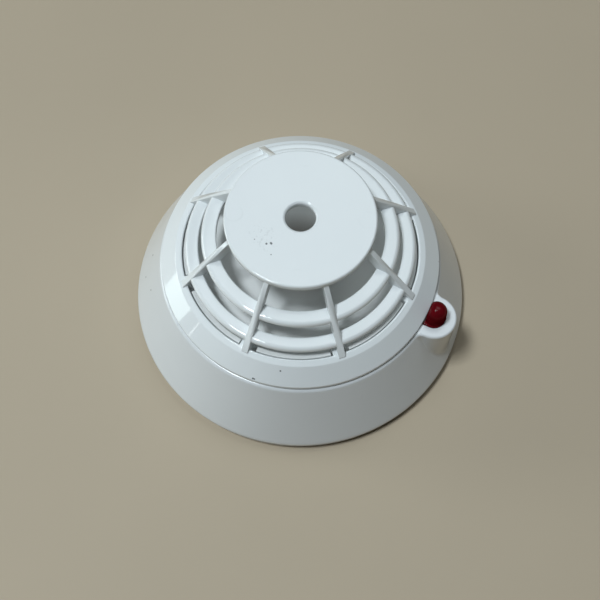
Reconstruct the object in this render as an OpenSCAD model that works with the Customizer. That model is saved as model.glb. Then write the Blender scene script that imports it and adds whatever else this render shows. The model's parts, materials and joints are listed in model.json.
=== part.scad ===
// Point heat detector: a vented sensing head that twists onto a round mounting base.
// Origin at the centre of the base's mounting face, +Z towards the vented disc,
// +X through the indicator lamp. Millimetres.

/* [Skirt] */
// Diameter of the skirt at its lower edge
skirt_d = 100; // [96:0.5:106]
// Height of the skirt's lower edge over the mounting face
skirt_low_z = 3.1; // [3.1:0.1:3.6]
// Height of the flat top edge of the skirt
skirt_top_z = 25.2; // [25:0.1:26]
// Wall of the skirt
skirt_wall = 2; // [1.6:0.1:2.4]

/* [Grille cover] */
// Diameter of the cover's side wall, and of the skirt's top edge
cover_d = 80; // [78:0.5:82]
// Height of the flat disc's top face
disc_top_z = 50.8; // [49:0.1:53]
// Diameter of the flat disc
disc_d = 41.2; // [39:0.1:43]
// Thickness of the flat disc
disc_t = 2; // [1.5:0.1:2.5]
// Diameter of the hole in the middle of the disc
vent_d = 8.2; // [6:0.1:10]
// Number of ribs that carry the disc and the two rings
rib_count = 8; // [6:1:10]
// Width of a rib where it meets the disc
rib_inner_w = 1.3; // [1:0.1:2]
// Width of a rib where it meets the lip
rib_outer_w = 1.9; // [1.2:0.1:2.5]

/* [Mounting base] */
// Diameter of the base's rim
base_d = 98.8; // [95:0.1:99]
// Thickness of the base plate
base_t = 2.8; // [2.4:0.1:2.8]
// Diameter of the cable entry
cable_entry_d = 22; // [16:1:26]
// Distance between the two fixing slots along X
fixing_x = 60; // [56:1:62]
// Distance between the two fixing slots along Y
fixing_y = 50; // [48:1:56]
// Width of a fixing slot
slot_w = 4.4; // [4:0.1:5]
// End-to-end length of a fixing slot
slot_l = 9; // [7:0.5:10]

/* [Twist lock] */
// Angle from locked to free
unlock_angle = 20; // [18:1:24]
// Half-angle of a locking lug on the head
lug_half = 8; // [6:0.5:9]

/* [Hidden] */

$fn = 96;
fine = 24;
eps = 0.01;

white = [0.86, 0.88, 0.90];
inner_white = [0.80, 0.82, 0.83];
lens_red = [0.38, 0.03, 0.04];
metal = [0.75, 0.76, 0.78];
brass = [0.80, 0.65, 0.30];
board_green = [0.10, 0.38, 0.22];
dark = [0.12, 0.12, 0.13];

// Skirt: radii and the straight cone between its lower and its top edge
skirt_r = skirt_d / 2;
cover_r = cover_d / 2;
skirt_land = 0.9;
skirt_round = 0.7;
flange_t = 2;
flange_in_r = 35;
flange_z = skirt_top_z - flange_t;
skirt_inner_r = skirt_r - skirt_wall - 0.2;
skirt_neck_r = cover_r - skirt_wall + 0.2;

// Lamp pod on the skirt: its round end, and the fillets that flare it into the top edge
pod_x = 41.9;
pod_r = 6.6;
pod_wall = 1.8;
pod_flare_r = 3.5;
lens_x = 42.3;
lamp_x = 42.6;
aperture_r = 3.5;
aperture_x = 41.9;
aperture_in_x = 38.5;

// Cover: the band and the lip, and the two rings as [inner radius, outer radius, top]
wall_low_z = skirt_top_z + 0.2;
band_low_z = 26.9;
band_in_r = 35.5;
lip_in_r = 33.5;
lip_z = 32.1;
band_z = band_low_z + cover_r - band_in_r;
wall_in_r = cover_r - 2.1;
ring_1 = [23.2, 27.4, 41.4];
ring_2 = [28.6, 32.4, 35.8];
ring_t = 1.7;
ring_round = 1.2;
disc_round = 0.6;
vent_round = 0.8;
disc_r = disc_d / 2;
rib_top = [disc_r, 49];
rib_foot = [34.9, 32.15];
rib_drop = 4.8;
hook_count = 4;
hook_w = 6;
hook_az = 67.5;
hook_in_r = 36.7;
hook_t = 0.9;
lip_tab_reach = 1.7;
lip_tab_angle = 3.7;
cover_gap = 0.3;

// Base: the ring wall, its locking tabs and the stops at both ends of the twist
base_r = base_d / 2;
recess_z = 0.6;
wall_r = 40;
wall_t = 2;
wall_top_z = 9.5;
tab_r = 42.4;
tab_low_z = 8;
lug_r = wall_r + 0.4;
lug_top_z = tab_low_z - 0.3;
lug_t = 1.8;
lock_count = 4;
stop_gap = 0.6;
stop_w = 3;

// Contacts: four at 45 degrees to the lamp
contact_az = 45;
plate_z = 3.8;
plate_t = 0.8;
finger_top_z = 8.2;
terminal_x = 30;
blade_z = 8.55;
carrier_z = 10.2;
carrier_t = 1.8;
stud_x = 17;

// Screws between the carrier and the housing, and the board's own screws
boss_r = 33.5;
boss_az = 22.5;
board_z = 15;
board_t = 1.6;
board_r = 30;
board_top = board_z + board_t;
board_screw_r = 26;
board_screw_az = [90, 210, 330];

// Chassis: floor of the sensing chamber
chassis_z = skirt_top_z + 0.1;
chassis_r = 37.4;
floor_top_z = 26.7;
rim_in_r = 31.7;
rim_out_r = 33.2;
rim_top_z = 31.3;
notch_half = 4.6;
notch_sink = 0.15;
turret_top_z = 30.2;
sensor_z = 34.5;
lead_d = 0.6;
lead_pitch = 2.54;

// ---- shape helpers ----

function unit(v) = v / norm(v);
function turn(a) = (a + 540) % 360 - 180;

// Points of the arc of radius r that rounds corner b between a and c
function corner(a, b, c, r, n = 6) =
    let (u = unit(a - b), v = unit(c - b), half = acos(u * v) / 2,
         mid = b + unit(u + v) * r / sin(half),
         start = b + u * r / tan(half) - mid,
         stop = b + v * r / tan(half) - mid,
         a0 = atan2(start.y, start.x),
         sweep = turn(atan2(stop.y, stop.x) - a0))
    [for (i = [0 : n]) mid + r * [cos(a0 + sweep * i / n), sin(a0 + sweep * i / n)]];

// Outline whose corners are given as [x, y, radius]
function rounded(p) =
    let (m = len(p), q = [for (v = p) [v.x, v.y]])
    [for (i = [0 : m - 1]) each
        p[i].z == 0 ? [q[i]] : corner(q[(i + m - 1) % m], q[i], q[(i + 1) % m], p[i].z)];

module lathe(outline) {
    rotate_extrude($fn = 180)
        polygon(outline);
}

module tube(r_out, r_in, z0, z1) {
    translate([0, 0, z0])
        difference() {
            cylinder(h = z1 - z0, r = r_out, $fn = 180);
            translate([0, 0, -eps])
                cylinder(h = z1 - z0 + 2 * eps, r = r_in, $fn = 180);
        }
}

// Ring segment between two angles, cut from a tube by a wedge
module arc_block(r_in, r_out, z0, z1, a0, a1) {
    intersection() {
        tube(r_out, r_in, z0, z1);
        translate([0, 0, z0 - 1])
            linear_extrude(z1 - z0 + 2)
                polygon([[0, 0], for (i = [0 : 4]) 1.3 * r_out
                    * [cos(a0 + (a1 - a0) * i / 4), sin(a0 + (a1 - a0) * i / 4)]]);
    }
}

module around(count, first = 0) {
    for (i = [0 : count - 1])
        rotate([0, 0, first + i * 360 / count])
            children();
}

module slot(length, width, z0, z1) {
    translate([0, 0, z0])
        linear_extrude(z1 - z0)
            union() {
                square([length - width, width], center = true);
                for (side = [-1, 1])
                    translate([side * (length - width) / 2, 0])
                        circle(d = width, $fn = 48);
            }
}

module rod(d, z0, z1) {
    translate([0, 0, z0])
        cylinder(h = z1 - z0, d = d, $fn = fine);
}

// Pan head screw standing on z, shank down, with a cross recess in its head
module pan_screw(head_d, head_h, shank_d, shank_l) {
    difference() {
        union() {
            rotate_extrude($fn = 48)
                polygon(concat([[0, 0]],
                    corner([0, 0], [head_d / 2, 0], [head_d / 2, head_h], 0.2),
                    corner([head_d / 2, 0], [head_d / 2, head_h], [0, head_h], head_h * 0.45),
                    [[0, head_h]]));
            translate([0, 0, -shank_l])
                cylinder(h = shank_l + eps, d = shank_d, $fn = fine);
        }
        for (a = [0, 90])
            rotate([0, 0, a])
                translate([-head_d * 0.28, -0.3, head_h * 0.5])
                    cube([head_d * 0.56, 0.6, head_h]);
    }
}

// ---- mounting base ----

module fixing_spots() {
    for (side = [-1, 1]) {
        translate([side * fixing_x / 2, 0, 0])
            children();
        translate([0, side * fixing_y / 2, 0])
            rotate([0, 0, 90])
                children();
    }
}

module mounting_base() {
    color(white)
    difference() {
        union() {
            lathe(rounded([[0, recess_z, 0], [base_r - 3.4, recess_z, 0], [base_r - 3.4, 0, 0],
                [base_r, 0, 0.3], [base_r, base_t, 0.6], [0, base_t, 0]]));
            tube(cable_entry_d / 2 + 3, cable_entry_d / 2 - 1, 0, base_t);
            fixing_spots()
                translate([-slot_l / 2 - 2.5, -slot_w / 2 - 2.5, 0])
                    cube([slot_l + 5, slot_w + 5, base_t]);
            tube(wall_r, wall_r - wall_t, base_t - eps, wall_top_z);
            around(lock_count) {
                arc_block(wall_r - 0.5, tab_r, tab_low_z, wall_top_z, -lug_half - stop_gap, lug_half + 1);
                arc_block(wall_r - 0.5, tab_r, base_t - eps, wall_top_z,
                    -lug_half - stop_gap - stop_w, -lug_half - stop_gap);
                arc_block(wall_r - 0.5, tab_r, base_t - eps, wall_top_z,
                    unlock_angle + lug_half + stop_gap, unlock_angle + lug_half + stop_gap + stop_w);
            }
            around(4, contact_az)
                translate([20.8, -5.2, base_t - eps])
                    cube([14, 10.4, plate_z - base_t + eps]);
        }
        translate([0, 0, -1])
            cylinder(h = base_t + 2, d = cable_entry_d, $fn = 120);
        fixing_spots()
            slot(slot_l, slot_w, -1, base_t + 1);
        around(4, contact_az)
            translate([terminal_x, 0, 1.2])
                cylinder(h = 4, d = 3.1, $fn = fine);
    }
}

// Bent strip: a screwed plate and a raised finger that presses on the head's blade
module base_contact(index) {
    color(metal)
    rotate([0, 0, contact_az + 90 * (index - 1)])
        difference() {
            rotate([90, 0, 0])
                linear_extrude(9, center = true)
                    polygon([[21.2, plate_z], [34.2, plate_z], [34.2, plate_z + plate_t],
                        [22, plate_z + plate_t], [22, finger_top_z - plate_t],
                        [26.4, finger_top_z - plate_t], [26.4, finger_top_z], [21.2, finger_top_z]]);
            translate([terminal_x, 0, plate_z - 1])
                cylinder(h = 3, d = 3.4, $fn = fine);
        }
}

module wire_clamps() {
    color(metal)
    around(4, contact_az)
        translate([terminal_x, 0, plate_z + plate_t])
            difference() {
                translate([-3.4, -3.4, 0])
                    cube([6.8, 6.8, 0.9]);
                translate([0, 0, -1])
                    cylinder(h = 3, d = 3.4, $fn = fine);
                for (side = [-1, 1])
                    translate([0, side * 2.9, -eps])
                        rotate([0, 90, 0])
                            cylinder(h = 10, r = 0.35, center = true, $fn = fine);
            }
}

module terminal_screws() {
    color(metal)
    around(4, contact_az)
        translate([terminal_x, 0, plate_z + plate_t + 0.9])
            pan_screw(5.8, 1.8, 3, 4.2);
}

// ---- head ----

// Half of the pod's flare: the corner between its round end and the skirt's top circle
module pod_flare() {
    reach_pod = pod_r + pod_flare_r;
    reach_skirt = cover_r + pod_flare_r;
    centre_x = (pod_x * pod_x + reach_skirt * reach_skirt - reach_pod * reach_pod) / (2 * pod_x);
    centre = [centre_x, sqrt(reach_skirt * reach_skirt - centre_x * centre_x)];
    difference() {
        polygon([[pod_x - 4, 0], [pod_x, 0],
            [pod_x, 0] + (centre - [pod_x, 0]) * pod_r / reach_pod, centre,
            centre * cover_r / reach_skirt, centre * (cover_r - 2) / reach_skirt]);
        translate(centre)
            circle(r = pod_flare_r, $fn = 64);
    }
}

module pod_outline() {
    translate([pod_x, 0])
        circle(r = pod_r, $fn = 96);
    for (side = [0, 1])
        mirror([0, side])
            pod_flare();
}

module aperture_outline(grow) {
    translate([aperture_x, 0])
        circle(r = aperture_r + grow, $fn = 64);
    translate([aperture_in_x - grow, -aperture_r - grow])
        square([aperture_x - aperture_in_x + grow, 2 * (aperture_r + grow)]);
}

module skirt_solid() {
    lathe(rounded([[0, skirt_low_z, 0], [skirt_r, skirt_low_z, 0.25],
        [skirt_r, skirt_low_z + skirt_land, 0.4], [cover_r + 0.45, skirt_top_z, skirt_round],
        [0, skirt_top_z, 0]]));
}

module skirt_hollow() {
    lathe([[0, skirt_low_z - 1], [skirt_inner_r + 0.4, skirt_low_z - 1],
        [skirt_inner_r, skirt_low_z], [skirt_neck_r, flange_z], [0, flange_z]]);
}

module head_housing() {
    color(white) {
        difference() {
            union() {
                skirt_solid();
                translate([0, 0, skirt_low_z + 1])
                    linear_extrude(skirt_top_z - skirt_low_z - 1)
                        pod_outline();
            }
            skirt_hollow();
            translate([0, 0, skirt_low_z + 1 - eps])
                linear_extrude(flange_z - skirt_low_z - 1)
                    union() {
                        translate([pod_x, 0])
                            circle(r = pod_r - pod_wall, $fn = 64);
                        translate([pod_x - 6, -pod_r + pod_wall])
                            square([6, 2 * (pod_r - pod_wall)]);
                    }
            translate([0, 0, flange_z - 1])
                cylinder(h = flange_t + 2, r = flange_in_r, $fn = 180);
            translate([0, 0, flange_z - 1])
                linear_extrude(flange_t + 2)
                    aperture_outline(0);
            around(hook_count, hook_az)
                translate([hook_in_r - 0.2, -hook_w / 2 - 0.2, flange_z - 1])
                    cube([hook_t + 0.4, hook_w + 0.4, flange_t + 2]);
        }
        intersection() {
            around(lock_count)
                arc_block(lug_r, skirt_r, lug_top_z - lug_t, lug_top_z, -lug_half, lug_half);
            skirt_solid();
        }
        around(4, boss_az)
            carrier_boss();
    }
}

module carrier_boss() {
    difference() {
        intersection() {
            union() {
                translate([boss_r, 0, carrier_z + carrier_t])
                    cylinder(h = skirt_top_z - 0.8 - carrier_z - carrier_t, r = 2.9, $fn = 48);
                translate([boss_r, -0.8, carrier_z + carrier_t + 1])
                    cube([14, 1.6, flange_z - carrier_z - carrier_t]);
            }
            skirt_solid();
        }
        translate([boss_r, 0, carrier_z])
            cylinder(h = 9, d = 2.5, $fn = fine);
    }
}

// Cross-section of the side wall, the 45 degree band and the lip
module cover_band() {
    lathe(rounded([[cover_r - 0.35, wall_low_z, 0], [cover_r - 0.35, wall_low_z + 0.5, 0],
        [cover_r, wall_low_z + 0.5, 0], [cover_r, band_low_z, 0.5],
        [band_in_r, band_z, 0.8], [lip_in_r, lip_z, 0.5], [lip_in_r, lip_z - 1.9, 0.3],
        [band_in_r - 0.6, band_z - 1.9, 0.5], [wall_in_r, band_low_z - 0.2, 0.5],
        [wall_in_r, wall_low_z, 0]]));
}

// Flat annular louvre with a well rounded outer edge
module louvre(ring) {
    lathe(rounded([[ring[0], ring[2], 0.4], [ring[1], ring[2], ring_round],
        [ring[1], ring[2] - ring_t, 0.3], [ring[0], ring[2] - ring_t, 0.3]]));
}

module vent_disc() {
    lathe(rounded([[vent_d / 2, disc_top_z, vent_round], [disc_r, disc_top_z, disc_round],
        [disc_r, disc_top_z - disc_t, 0.4], [vent_d / 2, disc_top_z - disc_t, 0.3]]));
}

// One rib: a plate that follows the slope, wider towards the lip
module rib() {
    slope = (rib_foot.y - rib_top.y) / (rib_foot.x - rib_top.x);
    root_x = disc_r - 1.4;
    knee_x = 31;
    intersection() {
        rotate([90, 0, 0])
            linear_extrude(4, center = true)
                polygon([[root_x, rib_top.y + 0.3], rib_top, rib_foot,
                    [rib_foot.x, 30.8], [lip_in_r + 0.4, 30.2], [lip_in_r - 0.4, 28.9],
                    [knee_x, 28.9], [knee_x, rib_top.y + slope * (knee_x - rib_top.x) - rib_drop],
                    [disc_r, rib_top.y - rib_drop], [root_x, rib_top.y - rib_drop + 1.5]]);
        translate([0, 0, 25])
            linear_extrude(30)
                polygon([[root_x, -rib_inner_w / 2], [rib_foot.x, -rib_outer_w / 2],
                    [rib_foot.x, rib_outer_w / 2], [root_x, rib_inner_w / 2]]);
    }
}

// Snap hook: its leg drops through the housing's flange and its barb grips from below
module snap_hook() {
    tip_z = flange_z - 1.4;
    root_z = wall_low_z + 1;
    rotate([90, 0, 0])
        linear_extrude(hook_w, center = true)
            polygon([[hook_in_r, root_z], [hook_in_r, flange_z - 0.1],
                [hook_in_r - 0.9, flange_z - 0.1], [hook_in_r - 0.9, flange_z - 0.4],
                [hook_in_r, tip_z], [hook_in_r + hook_t, tip_z],
                [hook_in_r + hook_t, wall_low_z + 0.1], [wall_in_r + 0.4, wall_low_z + 0.1],
                [wall_in_r + 0.4, root_z]]);
}

module grille_cover() {
    color(white) {
        cover_band();
        louvre(ring_1);
        louvre(ring_2);
        vent_disc();
        around(rib_count) {
            rib();
            arc_block(lip_in_r - lip_tab_reach, lip_in_r + 0.4, lip_z - 1.7, lip_z - 0.2,
                -lip_tab_angle, 0);
        }
        around(hook_count, hook_az)
            snap_hook();
    }
}

// Floor of the sensing chamber, with a notched rim and the thermistor's turret
module inner_chassis() {
    color(inner_white)
    difference() {
        union() {
            lathe(rounded([[0, chassis_z, 0], [chassis_r, chassis_z, 0.2],
                [chassis_r, chassis_z + 1, 0.2], [rim_out_r, floor_top_z, 0],
                [rim_out_r, rim_top_z, 0.3], [rim_in_r, rim_top_z, 0.3],
                [rim_in_r, floor_top_z, 0.4], [4.2, floor_top_z, 0.8],
                [3.2, turret_top_z, 0.3], [0, turret_top_z, 0]]));
            around(4, 45)
                translate([27, 0, board_top])
                    cylinder(h = chassis_z - board_top + eps, r = 2, $fn = fine);
        }
        around(rib_count)
            arc_block(rim_in_r - 0.6, rim_out_r + 0.6, floor_top_z - notch_sink, rim_top_z + 1,
                -notch_half, notch_half);
        translate([0, 0, chassis_z - 1])
            cylinder(h = 8, d = 3.6, $fn = 48);
        around(hook_count, hook_az)
            translate([hook_in_r - 0.3, -hook_w / 2 - 0.3, chassis_z - 1])
                cube([3, hook_w + 0.6, 4]);
        translate([0, 0, chassis_z - 1])
            linear_extrude(4)
                aperture_outline(0.4);
    }
}

// Back of the head: carries the blades below and the board above
module contact_carrier() {
    color(inner_white)
    difference() {
        union() {
            lathe(rounded([[0, carrier_z, 0], [39, carrier_z, 0.4], [39, carrier_z + carrier_t, 0.3],
                [0, carrier_z + carrier_t, 0]]));
            for (a = board_screw_az)
                rotate([0, 0, a])
                    translate([board_screw_r, 0, carrier_z + carrier_t - eps])
                        cylinder(h = board_z - carrier_z - carrier_t + eps, r = 2.6, $fn = fine);
        }
        around(4, boss_az)
            translate([boss_r, 0, carrier_z - 1])
                cylinder(h = 4, d = 3.2, $fn = fine);
        around(4, contact_az)
            translate([stud_x, 0, carrier_z - 1])
                cylinder(h = 4, d = 2.6, $fn = fine);
        for (a = board_screw_az)
            rotate([0, 0, a])
                translate([board_screw_r, 0, carrier_z + 0.8])
                    cylinder(h = 8, d = 2.1, $fn = fine);
    }
}

// Stepped blade under the carrier that meets the base's finger when locked
module contact_blade(index) {
    step_x = 21;
    color(metal)
    rotate([0, 0, contact_az + 90 * (index - 1)])
        difference() {
            rotate([90, 0, 0])
                linear_extrude(7, center = true)
                    polygon([[13.5, carrier_z - 0.8], [step_x, carrier_z - 0.8], [step_x, blade_z],
                        [27.5, blade_z], [27.5, blade_z + 0.8], [step_x + 0.8, blade_z + 0.8],
                        [step_x + 0.8, carrier_z], [13.5, carrier_z]]);
            translate([stud_x, 0, carrier_z - 2])
                cylinder(h = 4, d = 2.6, $fn = fine);
        }
}

// Headed brass studs that rivet the blades and reach up into the board
module contact_studs() {
    color(brass)
    around(4, contact_az)
        translate([stud_x, 0, 0])
            union() {
                rod(4.2, carrier_z - 1.5, carrier_z - 0.8);
                rod(2.5, carrier_z - 0.9, carrier_z + carrier_t + 0.6);
                rod(1.8, carrier_z + carrier_t + 0.5, board_top + 0.6);
            }
}

module carrier_screws() {
    color(metal)
    around(4, boss_az)
        translate([boss_r, 0, carrier_z])
            rotate([180, 0, 0])
                pan_screw(5.2, 1.6, 2.4, 9);
}

module board_screws() {
    color(metal)
    for (a = board_screw_az)
        rotate([0, 0, a])
            translate([board_screw_r, 0, board_top])
                pan_screw(4.2, 1.5, 2, 4.6);
}

// ---- electronics ----

module circuit_board() {
    color(board_green)
    difference() {
        translate([0, 0, board_z])
            cylinder(h = board_t, r = board_r, $fn = 180);
        around(4, contact_az)
            translate([stud_x, 0, board_z - 1])
                cylinder(h = 4, d = 1.9, $fn = fine);
        for (a = board_screw_az)
            rotate([0, 0, a])
                translate([board_screw_r, 0, board_z - 1])
                    cylinder(h = 4, d = 2.4, $fn = fine);
    }
}

// Coated bead at the tip of two leads, in the middle of the chamber
module thermistor() {
    color(dark)
    union() {
        translate([0, 0, sensor_z])
            sphere(r = 1.5, $fn = 48);
        translate([0, 0, sensor_z - 3])
            cylinder(h = 2.4, r1 = 0.9, r2 = 1.3, $fn = 48);
        for (side = [-1, 1])
            translate([0, side * 0.6, 0])
                rod(0.4, board_top, sensor_z - 2.5);
    }
}

module thermistor_sleeve() {
    color(inner_white)
    difference() {
        rod(3.4, board_top + 0.4, sensor_z - 3.1);
        for (side = [-1, 1])
            translate([0, side * 0.6, 0])
                rod(0.5, board_z, sensor_z);
    }
}

// Red lens: a flange that fills the pod's aperture and a dome, cut back where the cover's band is
module led_lens() {
    dome_r = 2.95;
    dome_z = 29.1;
    barrel_z = skirt_top_z + 0.05;
    color(lens_red)
    difference() {
        union() {
            translate([0, 0, flange_z - 0.6])
                linear_extrude(skirt_top_z + 0.15 - flange_z + 0.6)
                    aperture_outline(-0.08);
            difference() {
                union() {
                    translate([lens_x, 0, barrel_z])
                        cylinder(h = dome_z - barrel_z, r = dome_r, $fn = 64);
                    translate([lens_x, 0, dome_z])
                        sphere(r = dome_r, $fn = 64);
                }
                translate([0, 0, flange_z])
                    cylinder(h = 12, r = cover_r + cover_gap);
            }
        }
        translate([lamp_x, 0, flange_z - 1])
            cylinder(h = 6, r = 1.65, $fn = 48);
    }
}

// Lamp inside the lens, with two legs bent back to the board
module alarm_led() {
    leg_z = 18.6;
    pad_x = 27.5;
    color("red")
    union() {
        translate([lamp_x, 0, 21.4])
            cylinder(h = 4.6, r = 1.5, $fn = 48);
        translate([lamp_x, 0, 26])
            sphere(r = 1.5, $fn = 48);
        for (side = [-1, 1])
            translate([0, side * 1.1, 0]) {
                translate([lamp_x - 0.25, -0.25, leg_z])
                    cube([0.5, 0.5, 21.5 - leg_z]);
                translate([pad_x, -0.25, leg_z])
                    cube([lamp_x - pad_x + 0.25, 0.5, 0.5]);
                translate([pad_x, -0.25, board_top])
                    cube([0.5, 0.5, leg_z - board_top + 0.5]);
            }
    }
}

// Two legs, bent up from the board, for parts that stand or lie on it
module legs(pitch, height) {
    for (side = [-1, 1])
        translate([side * pitch / 2, 0, 0])
            rod(lead_d, board_top, board_top + height);
}

// Part with a lead at each end, lying along X over the board
module axial_part(x, y, angle, body_d, body_l, pitch) {
    axis_z = body_d / 2 + 0.3;
    translate([x, y, 0])
        rotate([0, 0, angle])
            union() {
                translate([-body_l / 2, 0, board_top + axis_z])
                    rotate([0, 90, 0])
                        cylinder(h = body_l, d = body_d, $fn = fine);
                translate([-pitch / 2 - lead_d / 2, 0, board_top + axis_z])
                    rotate([0, 90, 0])
                        cylinder(h = pitch + lead_d, d = lead_d, $fn = fine);
                legs(pitch, axis_z);
            }
}

// Small transistor case: round with one flat side, on three legs
module to92(x, y, angle) {
    color(dark)
    translate([x, y, 0])
        rotate([0, 0, angle])
            union() {
                translate([0, 0, board_top + 2.4])
                    intersection() {
                        cylinder(h = 4.6, r = 2.35, $fn = 48);
                        translate([-3, -3, -1])
                            cube([6, 4.3, 7]);
                    }
                for (i = [-1 : 1])
                    translate([i * 1.27, 0, 0])
                        rod(0.5, board_top, board_top + 2.6);
            }
}

module can_capacitor(x, y, d, h) {
    color(dark)
    translate([x, y, board_top])
        rotate_extrude($fn = 60)
            polygon([[0, 0.2], [d / 2, 0.2], [d / 2, 0.9], [d / 2 - 0.25, 1.2], [d / 2, 1.5],
                [d / 2, h - 0.3], [d / 2 - 0.3, h], [0, h]]);
}

module ceramic_capacitor(index) {
    spot = [[8, 5], [-8, 5], [-8, -5]][index - 1];
    color("peru")
    translate([spot.x, spot.y, 0])
        rotate([0, 0, 90])
            union() {
                translate([0, 0, board_top + 4])
                    rotate([90, 0, 0])
                        cylinder(h = 2.2, d = 5, center = true, $fn = 48);
                legs(lead_pitch, 3);
            }
}

module comparator_ic() {
    color(dark)
    translate([0, -14, 0])
        union() {
            translate([-4.7, -3.1, board_top + 0.6])
                cube([9.4, 6.2, 3.2]);
            for (side = [-1, 1], i = [-1.5 : 1 : 1.5])
                translate([i * lead_pitch, side * 3.3, board_top])
                    translate([-0.5, -0.6, 0])
                        cube([1, 1.2, 2.2]);
        }
}

module diode(index) {
    color(dark)
    axial_part(-6 + 4 * (index - 1), 15, 90, 2.5, 4.6, 9);
}

module resistor(index) {
    spots = [[21, 5.2], [21, 8.6], [21, -4.4], [21, -7.6], [-22, -5], [-22, -8.2], [0, -21], [0, -24.2]];
    color("tan")
    axial_part(spots[index - 1].x, spots[index - 1].y, 0, 2.3, 6.3, 10);
}

module zener_diode() {
    color("orangered")
    axial_part(12.6, -4, 90, 1.8, 3.6, 7);
}

module reference_thermistor() {
    color(dark)
    translate([8, -5, 0])
        union() {
            translate([0, 0, board_top + 3])
                sphere(r = 1.2, $fn = 48);
            for (side = [-1, 1])
                translate([0, side * 0.6, 0])
                    rod(0.4, board_top, board_top + 3);
        }
}

mounting_base();
for (i = [1 : 4])
    base_contact(i);
wire_clamps();
terminal_screws();
head_housing();
grille_cover();
inner_chassis();
contact_carrier();
for (i = [1 : 4])
    contact_blade(i);
contact_studs();
carrier_screws();
circuit_board();
board_screws();
thermistor();
thermistor_sleeve();
reference_thermistor();
led_lens();
alarm_led();
comparator_ic();
to92(13, 5.4, 90);  // thyristor
to92(11, -20, 0);  // transistor_1
to92(-11, -20, 0);  // transistor_2
zener_diode();
can_capacitor(-20, 8, 6.3, 7.4);  // electrolytic_capacitor_1
can_capacitor(-21, 0, 5, 7.4);  // electrolytic_capacitor_2
for (i = [1 : 3])
    ceramic_capacitor(i);
for (i = [1 : 4])
    diode(i);
for (i = [1 : 8])
    resistor(i);
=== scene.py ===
import json
import math

import bmesh
import bpy
from mathutils import Matrix, Vector


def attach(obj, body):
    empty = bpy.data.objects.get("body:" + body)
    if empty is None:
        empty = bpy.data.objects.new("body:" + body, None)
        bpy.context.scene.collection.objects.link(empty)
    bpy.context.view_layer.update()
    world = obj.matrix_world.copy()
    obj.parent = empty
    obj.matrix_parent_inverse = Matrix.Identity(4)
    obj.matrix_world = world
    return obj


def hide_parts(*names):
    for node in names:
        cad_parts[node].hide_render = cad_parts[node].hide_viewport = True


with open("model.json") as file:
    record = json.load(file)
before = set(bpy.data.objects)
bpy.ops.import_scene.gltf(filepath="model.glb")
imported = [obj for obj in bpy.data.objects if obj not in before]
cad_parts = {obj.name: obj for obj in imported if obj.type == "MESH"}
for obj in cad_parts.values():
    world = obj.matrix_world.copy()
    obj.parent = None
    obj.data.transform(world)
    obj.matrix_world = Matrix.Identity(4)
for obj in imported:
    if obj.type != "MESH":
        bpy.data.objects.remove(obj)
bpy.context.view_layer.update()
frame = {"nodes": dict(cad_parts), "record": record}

# Shapes are written in millimetres and scaled once, when a piece is finished.
MM = 0.001

# The view: degrees for the angles, millimetres for the lens and metres for the rest. The spot
# that the camera aims at lies a little in front of the detector's axis.
CAM_AZIMUTH = 25.5
CAM_ELEVATION = 67.28
CAM_ROLL = 0.4
CAM_LENS = 60.0
CAM_DISTANCE = 0.2846
CAM_AIM_FORWARD = 0.0132
CAM_AIM_HEIGHT = 0.025

# Skirt
SKIRT_R = 50.0
SKIRT_LOW_Z = 3.1
SKIRT_TOP_Z = 25.2
SKIRT_LAND = 0.9
NECK_R = 40.45
TOP_ROUND = 0.7
FLANGE_Z = 23.2
FLANGE_IN_R = 35.0
INNER_LOW_R = 47.8
INNER_NECK_R = 38.2
POD_BLEND = 0.8

# Lamp pod, its flare into the skirt, and the lamp
POD_X = 41.9
POD_R = 6.6
POD_WALL = 1.8
POD_FLARE_R = 3.5
POD_SEAT_R = 40.0
APERTURE_R = 3.5
APERTURE_IN_X = 38.5
LAMP_X = 42.6
LENS_X = 42.3
LENS_R = 2.95
LENS_DOME_Z = 29.1
LENS_GAP = 0.08
LENS_EDGE = 0.3
LENS_BORE_R = 1.65
LENS_BORE_TOP_Z = 28.2

# Grille cover
COVER_R = 40.0
COVER_WALL = 2.1
WALL_LOW_Z = 25.4
SEAM_H = 0.45
SEAM_DEPTH = 0.35
BAND_LOW_Z = 26.9
BAND_IN_R = 35.5
BAND_TOP_Z = 31.4
LIP_IN_R = 33.5
LIP_Z = 32.1
LIP_T = 1.9
RING_1 = (23.2, 27.4, 41.4)
RING_2 = (28.6, 32.4, 35.8)
RING_T = 1.7
RING_ROUND = 1.2
DISC_R = 20.6
DISC_TOP_Z = 50.8
DISC_T = 2.0
DISC_ROUND = 0.6
VENT_R = 4.1
VENT_ROUND = 0.8
RIB_COUNT = 8
RIB_TOP = (DISC_R, 49.0)
RIB_FOOT = (34.9, 32.15)
RIB_DROP = 4.8
RIB_ROOT_R = DISC_R - 1.4
RIB_MID_R = 27.6
RIB_KNEE_R = 31.0
RIB_LOW_Z = 28.9
RIB_ROOT_W = 1.3
RIB_FOOT_W = 1.9
RIB_EDGE = 0.14
LIP_TAB_REACH = 1.7
LIP_TAB_ANGLE = 3.7
COVER_GAP = 0.3
HOOK_AZ = (67.5, 157.5, 247.5, 337.5)
HOOK_IN_R = 36.7
HOOK_T = 0.9
HOOK_W = 6.0
HOOK_BARB = 0.9
HOOK_TIP_Z = FLANGE_Z - 1.4
MARK_PLACE_R = 17.9
MARK_R = 2.4
MARK_WIDTH = 0.45

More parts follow.
